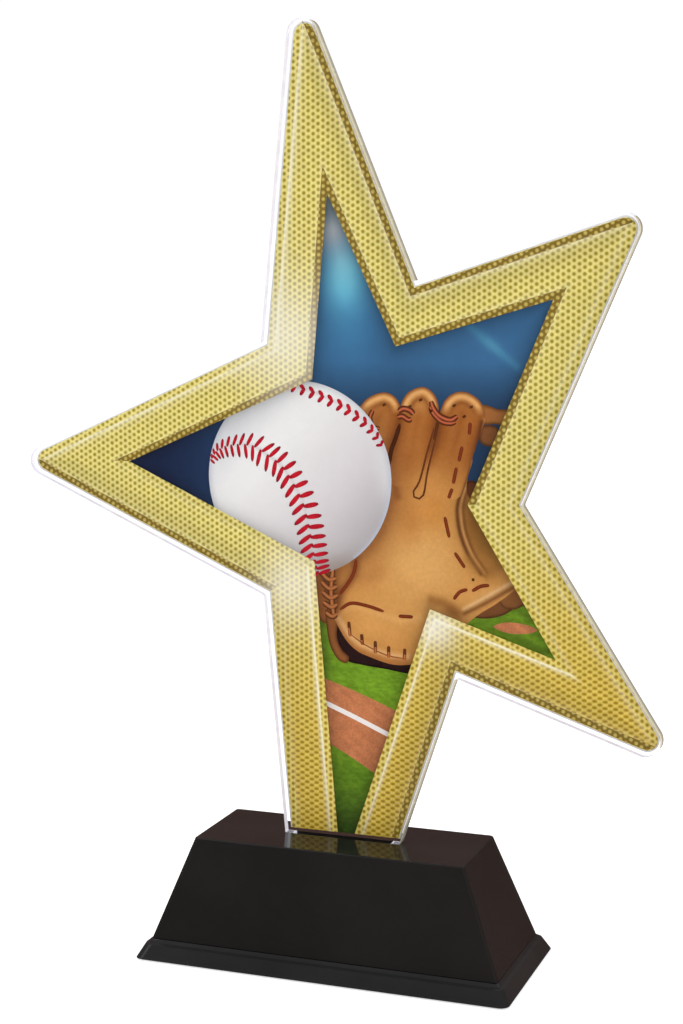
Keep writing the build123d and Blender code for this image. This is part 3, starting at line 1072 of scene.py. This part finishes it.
@dataclass
class Glove(Printed):
    """The printed leather glove behind the ball: palm, three fingers, laces and stitched lines."""

    tan: Rgb = (196, 136, 70)
    dark: Rgb = (84, 44, 22)
    lace: Rgb = (172, 88, 58)
    thread: Rgb = (120, 50, 27)
    creases: tuple = (
        (17, 88, 12, 13, (216, 162, 96), 0.95), (8, 98, 5, 12, (172, 112, 58), 0.7, -20),
        (12, 103, 3, 7, (178, 116, 58), 0.5), (19.5, 101, 3.5, 6, (198, 138, 74), 0.7),
        (7, 75, 9, 5, (210, 152, 86), 0.6), (10.5, 112, 2.2, 5, (128, 68, 30), 0.6),
        (24.3, 114.5, 2, 4, (136, 74, 34), 0.6), (13.8, 110, 2, 3.6, (138, 76, 34), 0.6),
        (17, 120.2, 2, 1.4, (200, 142, 80), 0.7), (20, 98, 3.2, 4, (196, 126, 56), 0.5),
        (15, 96, 2.6, 4.5, (176, 110, 50), 0.5), (28.5, 97, 1.8, 4, (118, 68, 28), 0.5),
        (6, 73, 3, 2, (218, 158, 88), 0.5),
    )
    palm_edge: tuple = (
        (-6.5, 90), (-5.8, 84), (-4.4, 79), (-3, 75.6), (-1.7, 73), (0, 70.2), (1.5, 68.5), (3.2, 67.3),
        (5, 66.6), (10, 65.2), (14, 65.2), (19, 66.5), (24, 70), (27, 74.5), (30, 77.2), (33.6, 79.6),
        (38, 83.4), (38.5, 87), (34, 93), (30, 99), (27.2, 102), (27.2, 105.5), (28.2, 109.5), (27, 113),
        (20, 114), (12, 113), (5, 112), (0, 105), (-5, 97),
    )
    fingers: tuple = (
        ((3.2, 106), (2.6, 113), (3, 118), (4.2, 120.4), (6.2, 122), (9, 122.8), (11.2, 122), (12.4, 120.2),
         (12.6, 117.6), (11.6, 114), (10.2, 110.5), (9.3, 106)),
        ((9.8, 104), (10.5, 109), (11.4, 113.5), (12.1, 117.4), (12.7, 120.4), (14.3, 122.9), (17.3, 124.1),
         (19.6, 123), (20.8, 120.6), (20.7, 117), (19.6, 112), (17.8, 106), (16.5, 103)),
        ((17.4, 103), (19.2, 109), (20.6, 114.5), (21, 118), (22, 121), (23.8, 122.8), (26.2, 123.3),
         (28.6, 122.4), (30.3, 120.6), (30.9, 118), (30.1, 115.3), (28.9, 111.8), (27.7, 108.2),
         (26.6, 104.2), (24.5, 101)),
    )
    middles: tuple = ((8, 114), (15.8, 113.5), (24.6, 113))
    ridge: tuple = (
        (27.6, 108.7), (26.6, 104.7), (25.1, 100), (25.1, 96.7), (25.8, 93.3), (27.5, 89.3), (30.2, 85.6),
    )
    strap: tuple = ((26.4, 77.9), (31, 80.6), (36.3, 83.9), (39, 85.5))
    heel: tuple = ((-1.2, 76), (1.5, 77.9), (5, 77.5), (8.9, 76.4), (13, 75.6), (17, 76.4))
    roll: tuple = ((-1.7, 73), (1.5, 68.8), (5, 66.9), (10, 65.6), (14, 65.5))
    outer_rim: tuple = ((31.2, 117.2), (30.2, 112), (28.9, 107), (27.2, 101.5))
    inner_rim: tuple = ((30.1, 117.2), (29.1, 112), (27.8, 107), (26.1, 101.5))
    dashes: tuple = (
        ((26, 112), (25.3, 108.9)), ((24.8, 107.6), (24.1, 104.2)), ((23.9, 103.2), (23.1, 101.1)),
        ((22.3, 97.2), (23.3, 92.9)), ((24.5, 89.8), (26.7, 86.7)), ((27.7, 117), (27.5, 114.5)),
        ((24.3, 79.9), (25.6, 81.5), (27.3, 82.2)), ((28.3, 81.9), (30.2, 83), (32, 83.3)),
        ((-1, 76.2), (1.5, 77.7), (5, 77.4), (8.9, 76.4)), ((12.2, 75.6), (15.4, 75.6)),
        ((2.75, 87.2), (2.2, 84.5), (1.2, 82.5), (-1, 79.5)),
    )
    whips: tuple = (
        ((1, 73.2), (1.3, 70.5)), ((3.9, 70.7), (4.1, 68.8)), ((7, 69.4), (7, 67.2)),
        ((10, 68.5), (10, 66.5)), ((13.6, 68.2), (13.5, 66.2)),
    )
    lines: tuple = (
        (((1.2, 71.1), (4, 69.3), (7, 67.9), (10, 66.9), (13.6, 66.5)), 0.28, (150, 84, 46), 0.6),
        (((19.9, 115.6), (18.4, 110.5), (16.8, 104.5), (15.3, 101.9), (16.3, 100.7), (17.7, 101.7),
         (18.4, 106), (19.6, 111), (20.7, 115.4)), 0.42, (98, 52, 28), 0.5),
        (((12.5, 116.4), (11.6, 113.5), (10.5, 110.5), (10.1, 107.5)), 0.95, (66, 34, 18), 0.15),
        (((20.75, 117.2), (20.3, 114.8), (19.9, 113.2)), 0.7, (90, 48, 26), 0.2),
    )
    laces: tuple = (
        (((12.1, 118.9), (13.2, 119.5), (14.6, 119.2), (15.5, 118.4)), 0.95),
        (((11.9, 117.7), (13, 117.9), (14.3, 117.2), (15, 117.4)), 0.85),
        (((19.2, 121.2), (19.8, 119.6), (21.2, 118.1), (23.4, 117.4), (24.9, 118.2)), 1),
        (((19, 120), (19.9, 118.4), (21.6, 117), (23.4, 116.7), (24.6, 117)), 0.8),
        (((6.5, 119), (5.9, 117.6), (6.2, 116)), 0.7),
        (((5, 117.2), (6.4, 115.6), (8, 115.2)), 0.6),
    )
    eyelets: tuple = (
        (17, 121.4), (19.3, 119.2), (24.2, 120.4), (27.9, 120.2), (9, 120.2), (14.6, 120), (26.4, 118.2),
    )
    knots: tuple = (
        ((-5.4, 84.2), (-3.6, 82.6), (-1.8, 82.9)), ((-5.2, 82), (-3.4, 80.6), (-1.6, 81.2)),
        ((-2.5, 85.5), (-3, 80), (-2.4, 74.5)), ((-5, 79.8), (-3.2, 78.6), (-1.5, 79.3)),
        ((-4.8, 77.6), (-3, 76.6), (-1.6, 77.3)), ((-4.2, 75.4), (-2.8, 74.6), (-1.7, 75.2)),
    )
    hidden: tuple = (
        (((-9, 86), (-8.2, 80), (-7, 76), (-4.5, 73), (-1, 76), (0, 82), (-3, 86.5)), (142, 86, 48),
         (-4, 80)),
        (((30.2, 120.6), (33.6, 119.9), (36.5, 119.6), (36.6, 116.6), (33, 116.8), (30.2, 117)),
         (154, 98, 52), (32.6, 118.3)),
        (((30.4, 116.4), (33.5, 116), (33.8, 112.6), (31.2, 112.2), (29.6, 113.6)), (124, 78, 44),
         (31.8, 114.2)),
        (((27, 104.6), (29.4, 104.4), (30.6, 100.6), (28.6, 98.4), (26.4, 100.2)), (96, 54, 32),
         (28.4, 101.6)),
        (((-1.9, 72.4), (-1.6, 68.4), (0.4, 65.3), (4, 64.5), (9, 64), (16, 63.4), (18, 66), (10, 68),
         (3, 70), (0, 73)), (36, 22, 22), (2.5, 67.6)),
        (((-4.2, 76), (-3.9, 71), (-3.1, 67.8), (-1.5, 65.3), (0.4, 64.6), (1, 66), (-0.6, 67.6),
         (-1.7, 70.4), (-1.6, 75)), (138, 84, 46), (-2.3, 70)),
        (((26, 77.5), (30, 76.2), (35, 77.2), (38.6, 80.2), (39.6, 84), (36, 84), (30, 80)), (112, 70, 40),
         (34, 79.8)),
        (((33, 83.6), (37.6, 84.6), (42.5, 84), (40.5, 80.5), (37.5, 78.6), (34.6, 79.2)), (128, 82, 46),
         (37.4, 81.6)),
    )

    def leather(self, grid: Points) -> Paint:
        """Tan leather: light over the palm, browner up the fingers and dark beside the ball."""
        p = Paint(grid, self.tan)
        p.slope((16, 97), (16, 115), (146, 82, 34), 0.97)
        for crease in self.creases:
            p.spot(*crease)
        gap = np.hypot(*(p.at - np.array(Ball.centre)).T) - Ball.radius
        p.wash((112, 66, 36), 0.6 * bell(gap, 1.6))
        p.wash((150, 98, 54), 0.4 * bell(gap, 4.0))
        return p

    def palm(self) -> None:
        """The palm as rings inside its outline, with the thumb ridge, heel roll and folds painted on."""
        outline = even_path(smooth_path(self.palm_edge, 600, True), 360, True)
        p = self.leather(fan(outline, (14.5, 89.0), 84))
        p.spot(31, 93, 5, 8, (136, 92, 42), 0.95, 30)
        p.line(self.ridge, 1.7, (132, 82, 38), 0.75, 1)
        p.line(self.ridge, 0.42, (88, 50, 26), 0.9)
        p.line(np.add(self.ridge, (0.75, 0.25)), 0.32, (214, 160, 100), 0.7)
        p.line(np.add(self.ridge, (1.3, 0.4)), 0.3, (96, 58, 30), 0.6)
        p.line([(27.5, 88.5), (31, 86.2), (35.5, 88.5)], 1.2, (150, 102, 50), 0.6)
        p.spot(31.5, 81.2, 4.6, 1.8, (204, 150, 88), 0.8, 32)
        p.line(self.strap, 1.5, (180, 130, 76), 0.8, -1)
        p.line(self.strap, 0.4, (222, 184, 134), 0.7)
        p.line([(26.6, 77.0), (31.4, 79.6), (37.2, 83.2)], 0.45, (116, 72, 38), 0.8)
        p.line([(19.5, 79.5), (22.5, 78.8), (25.2, 76.8)], 1.1, (150, 98, 48), 0.75)
        p.spot(24, 77.5, 1.8, 1.3, (134, 86, 44), 0.6)
        p.line(np.add(self.heel, (0, -0.9)), 0.8, (222, 168, 102), 0.5)
        p.line(self.roll, 1.5, (164, 104, 54), 0.8)
        p.line(np.add(self.roll, (0.2, 1.5)), 0.7, (230, 184, 130), 0.65)
        p.line([(-5.5, 90), (-2.5, 86), (0.8, 84.4), (5, 83.6), (8, 85)], 1.8, (160, 104, 56), 0.35)
        p.line([(2.6, 88), (2.4, 84.8), (1.2, 82.4), (-1, 79.6), (-2, 76)], 1.0, (120, 70, 38), 0.8)
        p.spot(-3.2, 81, 2.2, 6, (98, 54, 30), 0.95, 8)
        p.line([(9.5, 112), (10.5, 107), (12, 101)], 0.9, (120, 68, 34), 0.55)
        p.line([(20.0, 115), (17.4, 108), (16.1, 102.6), (16.5, 101)], 1.5, (196, 136, 74), 0.4)
        sheet = self.layer("glove_palm", 5.4)
        sheet.show(p, 1.5, 0.30)
        self.lay(sheet, Grain.LEATHER)

    def digits(self) -> None:
        """Three fingers, each ringed inside its outline: darker at its sides, a pale rolled rim on top."""
        for n, (edge, middle) in enumerate(zip(self.fingers, self.middles)):
            outline = even_path(smooth_path(edge, 400, True), 220, True)
            p = self.leather(fan(outline, middle, 46))
            far, _ = reach_to(p.at, looped(outline))
            up, top = rise(p.at[:, 1] - 106, 6), rise(p.at[:, 1] - 118.2, 2.2)
            p.wash((112, 62, 30), 0.8 * up * bell(far, 1.0) * (1 - top))
            p.wash((178, 116, 60), 0.5 * up * bell(far - 3.2, 1.5))
            p.wash((232, 178, 112), 0.85 * top * bell(far - 1.0, 0.85))
            p.wash((128, 74, 38), 0.6 * top * bell(far - 2.3, 0.4))
            p.wash((132, 78, 40), 0.9 * top * bell(far, 0.4))
            p.line(self.outer_rim, 1.1, (212, 148, 88), 0.85)
            p.line(self.inner_rim, 0.5, (98, 54, 28), 0.9)
            sheet = self.layer(f"glove_finger_{n + 1}", 6.2 + 0.4 * n)
            sheet.show(p, 1.5, 0.26)
            self.lay(sheet, Grain.LEATHER)

    @staticmethod
    def ribbon(
        sheet: Sheet, points: Sequence, width: float, rgb: Rgb, ends: float, crown: float = 0.1
    ) -> None:
        """A tapered strip along a curve, lighter along its middle.

        Args:
            sheet: The layer it is added to.
            points: Places it goes through.
            width: Width in the middle.
            rgb: Its colour.
            ends: Share of the width left at both ends.
            crown: How much lighter its middle is than its edges.
        """
        path = even_path(smooth_path(points), 26)
        t = np.linspace(0, 1, len(path))
        taper = ends + (1 - ends) * np.minimum(1, np.minimum(t, 1 - t) * 7) ** 0.5
        p = Paint(strip(path, width * taper, 5), rgb)
        p.dim(np.tile(1 - crown * np.array([1, 0.35, -0.5, 0.2, 1]), len(path)))
        sheet.show(p)

    def details(self) -> None:
        """Laces between the fingers, stitched dashes, the finger slot, heel whip-stitches and web knots."""
        shade, front = self.layer("glove_lace_shade", 7.8), self.layer("glove_laces", 8.2)
        for dash in self.dashes:
            self.ribbon(front, dash, 0.75, self.thread, 0.45, 0.25)
        self.ribbon(front, [(28.2, 84.3), (28.8, 84.3)], 0.6, self.dark, 0.6)
        for (x, z), low in self.whips:
            self.ribbon(shade, [(x, z + 0.5), low], 0.75, (96, 50, 28), 0.5)
            self.ribbon(front, [(x, z - 0.8), low], 0.5, (176, 104, 60), 0.5, 0.2)
        for line in self.lines:
            self.ribbon(front, *line)
        for lace, width in self.laces:
            self.ribbon(shade, lace, width + 0.35, (84, 42, 22), 0.6)
            self.ribbon(front, lace, width * 0.75, self.lace, 0.5, 0.4)
        for x, z in self.eyelets:
            self.ribbon(front, [(x - 0.35, z - 0.2), (x + 0.35, z + 0.2)], 0.5, self.dark, 0.6)
        for knot in self.knots:
            self.ribbon(shade, knot, 1.3, (78, 42, 24), 0.5)
            self.ribbon(front, knot, 0.85, (164, 100, 58), 0.5, 0.3)
        self.lay(shade, Grain.LEATHER)
        self.lay(front, Grain.LEATHER)

    def under(self) -> None:
        """What lies behind the palm: web, strap, thumb and the dark hollow under the heel."""
        sheet = self.layer("glove_behind", 4.6)
        for edge, rgb, middle in self.hidden:
            outline = even_path(smooth_path(edge, 160, True), 90, True)
            p = Paint(fan(outline, middle, 14), rgb)
            p.dim(1 - 0.35 * bell(reach_to(p.at, looped(outline))[0], 0.45))
            sheet.show(p, 1.4, 0.26)
        self.lay(sheet, Grain.LEATHER)


class Picture:
    """The picture behind the acrylic, built in layers from the back of its film to the front."""

    def build(self) -> None:
        """Lays sky, field, glove and ball within the picture film's thickness."""
        front, back = (v.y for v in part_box("picture_film"))
        inks = {grain: PrintedInk(grain).build() for grain in Grain}
        ground, glove, ball = (part(back, inks) for part in (Backdrop, Glove, Ball))
        for lay in (
            ground.sky, ground.turf, ground.ground, glove.under, glove.palm, glove.digits, glove.details,
            ball.skin, ball.stitches,
        ):
            lay()
        log.info("picture film from %.5f to %.5f m", front, back)


# ---- acrylic and base


@dataclass
class Plate:
    """The clear acrylic star with its tab."""

    bevel: float = 0.12 * MM
    sharp: float = 40.0
    # painted light on the cut edges: pale for the bright light seen through them, cream to tan for the gold
    # print seen through the edges that face the right
    pale: Rgb = (226, 226, 238)
    cream: Rgb = (236, 226, 198)
    tan: Rgb = (176, 172, 156)

    def blank(self) -> Piece:
        """A copy of the cut sheet with its loose triangles merged and its sharp edges bevelled."""
        made = bmesh.new()
        made.from_mesh(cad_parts["star_plate"].data)
        bmesh.ops.remove_doubles(made, verts=made.verts, dist=1e-6)
        bmesh.ops.dissolve_limit(made, angle_limit=radians(0.5), verts=made.verts, edges=made.edges)
        mesh = bpy.data.meshes.new("clear_star")
        made.to_mesh(mesh)
        made.free()
        piece = linked("clear_star", mesh)
        bevel = piece.modifiers.new("edge", "BEVEL")
        bevel.width, bevel.segments = self.bevel, 2
        bevel.limit_method, bevel.angle_limit = "ANGLE", radians(self.sharp)
        return piece

    def build(self) -> None:
        """Clear in front, bonded behind, its edges painted with light: pale and glowing, or tan where they
        face the right, for the gold print seen through them.
        """
        piece = fit_out(self.blank(), ClearAcrylic().build(), "clear_acrylic", "star_plate")
        piece.data.materials.append(CutEdge("acrylic_edge_painted_glow", self.pale, self.pale, 0.5).build())
        piece.data.materials.append(ClearAcrylic().bonded())
        piece.data.materials.append(CutEdge("acrylic_edge_painted_print_reflection", self.cream, self.tan, 0.05).build())
        facing = np.zeros(3 * len(piece.data.polygons))
        piece.data.polygons.foreach_get("normal", facing)
        across, through, _ = facing.reshape(-1, 3).T
        kind = np.where(through > 0, 2, 0)
        # edges facing the right get the painted reflection of the gold print, the other edges the pale
        # painted glow
        kind = np.where(np.abs(through) < 0.5, np.where(across > 0.6, 3, 1), kind)
        piece.data.polygons.foreach_set("material_index", kind.astype(np.int32))


class Base:
    """The black base, and what is inside and under it."""

    finishes = {
        "base_cap": MouldedBlack(),
        "base_plinth": MouldedBlack("black_plinth", (35, 35, 35), (42, 42, 42), (0.07, 0.12), 0.14),
        "ballast_plate": Stock(
            "rolled_steel", (118, 116, 112), (148, 146, 142), 240, (0.32, 0.5), 1.0, stretch=(1, 6, 1)
        ),
        "ballast_pad": Stock("grey_foam", (92, 92, 94), (120, 120, 122), 1400, (0.85, 0.95), depth=0.0002),
        "cap_screws": Stock("zinc_screw", (150, 152, 158), (190, 190, 188), 900, (0.25, 0.42), 1.0),
        "base_pad": Stock("black_felt_foam", (30, 30, 31), (46, 46, 48), 1700, (0.85, 0.97), depth=0.00015),
        "backing_film": Stock("white_film", (216, 217, 219), (226, 226, 227), 500, (0.3, 0.42), depth=3e-6),
    }

    def build(self) -> None:
        """Dresses each carried-over node in its own procedural finish."""
        for node, finish in self.finishes.items():
            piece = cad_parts[node]
            piece.data.materials.clear()
            piece.data.materials.append(finish.build())
            log.info("%s: dressed in %s", node, finish.name)


# ---- studio


@dataclass
class Studio:
    """Pale floor, white room, three soft lamps and the camera."""

    camera_at: tuple = (0.1371, -0.3717, 0.1506)
    azimuth: float = 20.30
    elevation: float = 7.66
    roll: float = -0.20
    lens: float = 66.4
    floor_size: float = 6.0
    floor_bend: float = 4.0
    mirrored: tuple = (
        (0.45, (0.15, 0.068, 0.054, 1)), (0.95, (0.6, 0.6, 0.6, 1)), (0.64, (0.18, 0.09, 0.072, 1)),
    )
    lamps: tuple = (
        ("soft_front", (-1.2, -0.95, 1.5), 1.1, 9.0), ("soft_back", (0.8, 1.2, 1.4), 1.2, 3.0),
        ("corner_light", (1.3, -0.35, 0.55), 0.35, 0.4),
    )

    def camera(self) -> None:
        """Places the camera from its azimuth, elevation and roll: its axes are right, up and back."""
        a, e, r = radians(self.azimuth), radians(self.elevation), radians(self.roll)
        back = Vector((sin(a) * cos(e), -cos(a) * cos(e), sin(e)))
        right = Vector((cos(a), sin(a), 0))
        up = back.cross(right)
        x, y = right * cos(r) + up * sin(r), -right * sin(r) + up * cos(r)
        lens = bpy.data.cameras.new("camera")
        lens.lens, lens.sensor_width, lens.clip_start, lens.clip_end = self.lens, 36, 0.01, 50
        made = linked("camera", lens)
        made.matrix_world = Matrix((x, y, back)).transposed().to_4x4()
        made.location = self.camera_at
        bpy.context.scene.camera = made

    def floor(self) -> None:
        """A pale sheet, level under the object, that rises as the cube of the distance past its bend."""
        u = np.linspace(-1, 1, 41) * self.floor_size
        x, y = np.meshgrid(u, u, indexing="ij")
        far = np.maximum(np.hypot(x, y) - self.floor_bend, 0)
        piece = mesh_piece("floor", np.stack([x, y, 0.02 * far**3], -1).reshape(-1, 3), quads_of(*x.shape))
        g = Graph("pale_floor")
        pale = g.blend(g.grain(3, 2).step(0.3, 0.7), (0.93, 0.93, 0.93, 1), (0.95, 0.95, 0.95, 1))
        finish = g.finish(
            Base_Color=pale,
            Roughness=0.9,
            Specular_IOR_Level=0.1,
            Emission_Color=pale,
            Emission_Strength=0.62,
        )
        piece.data.materials.append(finish)
        piece.visible_glossy = False

    def room(self) -> None:
        """White to the eye; what gloss mirrors is dim at eye level and bright overhead."""
        g = Graph("room", world=True)
        way = g.node("ShaderNodeTexCoord", out="Generated")
        up = g.node("ShaderNodeSeparateXYZ", {}, {0: way}, "Z")
        ramp = g.node("ShaderNodeValToRGB", {"stops": self.mirrored}, {0: up * 0.5 + 0.5})
        seen, lit, gloss = (
            g.node("ShaderNodeBackground", {}, {0: colour, 1: strength})
            for colour, strength in (((1, 1, 1, 1), 1.05), ((0.98, 0.99, 1.0, 1), 0.62), (ramp, 1.0))
        )
        rays = ("Is Diffuse Ray", "Is Glossy Ray", "Is Transmission Ray")
        diffuse, glossy, through = (g.node("ShaderNodeLightPath", out=ray) for ray in rays)
        plain = g.node("ShaderNodeMixShader", {}, {0: diffuse, 1: seen, 2: lit})
        mirror = (glossy - through).most(0)
        bpy.context.scene.world = g.end(g.node("ShaderNodeMixShader", {}, {0: mirror, 1: plain, 2: gloss}))

    def lamp(self, name: str, at: tuple, size: float, watts: float) -> None:
        """A square soft lamp at a place, turned towards the middle of the object."""
        light = bpy.data.lights.new(name, "AREA")
        light.size, light.energy = size, watts
        made = linked(name, light)
        made.location = at
        made.rotation_euler = (Vector((0, 0, 0.1)) - Vector(at)).to_track_quat("-Z", "Y").to_euler()

    def build(self) -> None:
        """Sets the studio up round the object."""
        self.camera()
        self.floor()
        self.room()
        for lamp in self.lamps:
            self.lamp(*lamp)
        bpy.context.scene.view_settings.view_transform = "Standard"


def main() -> None:
    """Builds the trophy's looks piece by piece."""
    logging.basicConfig(level=logging.INFO, format="%(name)s %(message)s")
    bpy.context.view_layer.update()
    Studio().build()
    Base().build()
    Plate().build()
    GoldBorder().build(GoldMesh().build(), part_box("gold_border_film")[0].y + 0.012 * MM)
    Picture().build()


if __name__ == "__main__":
    main()
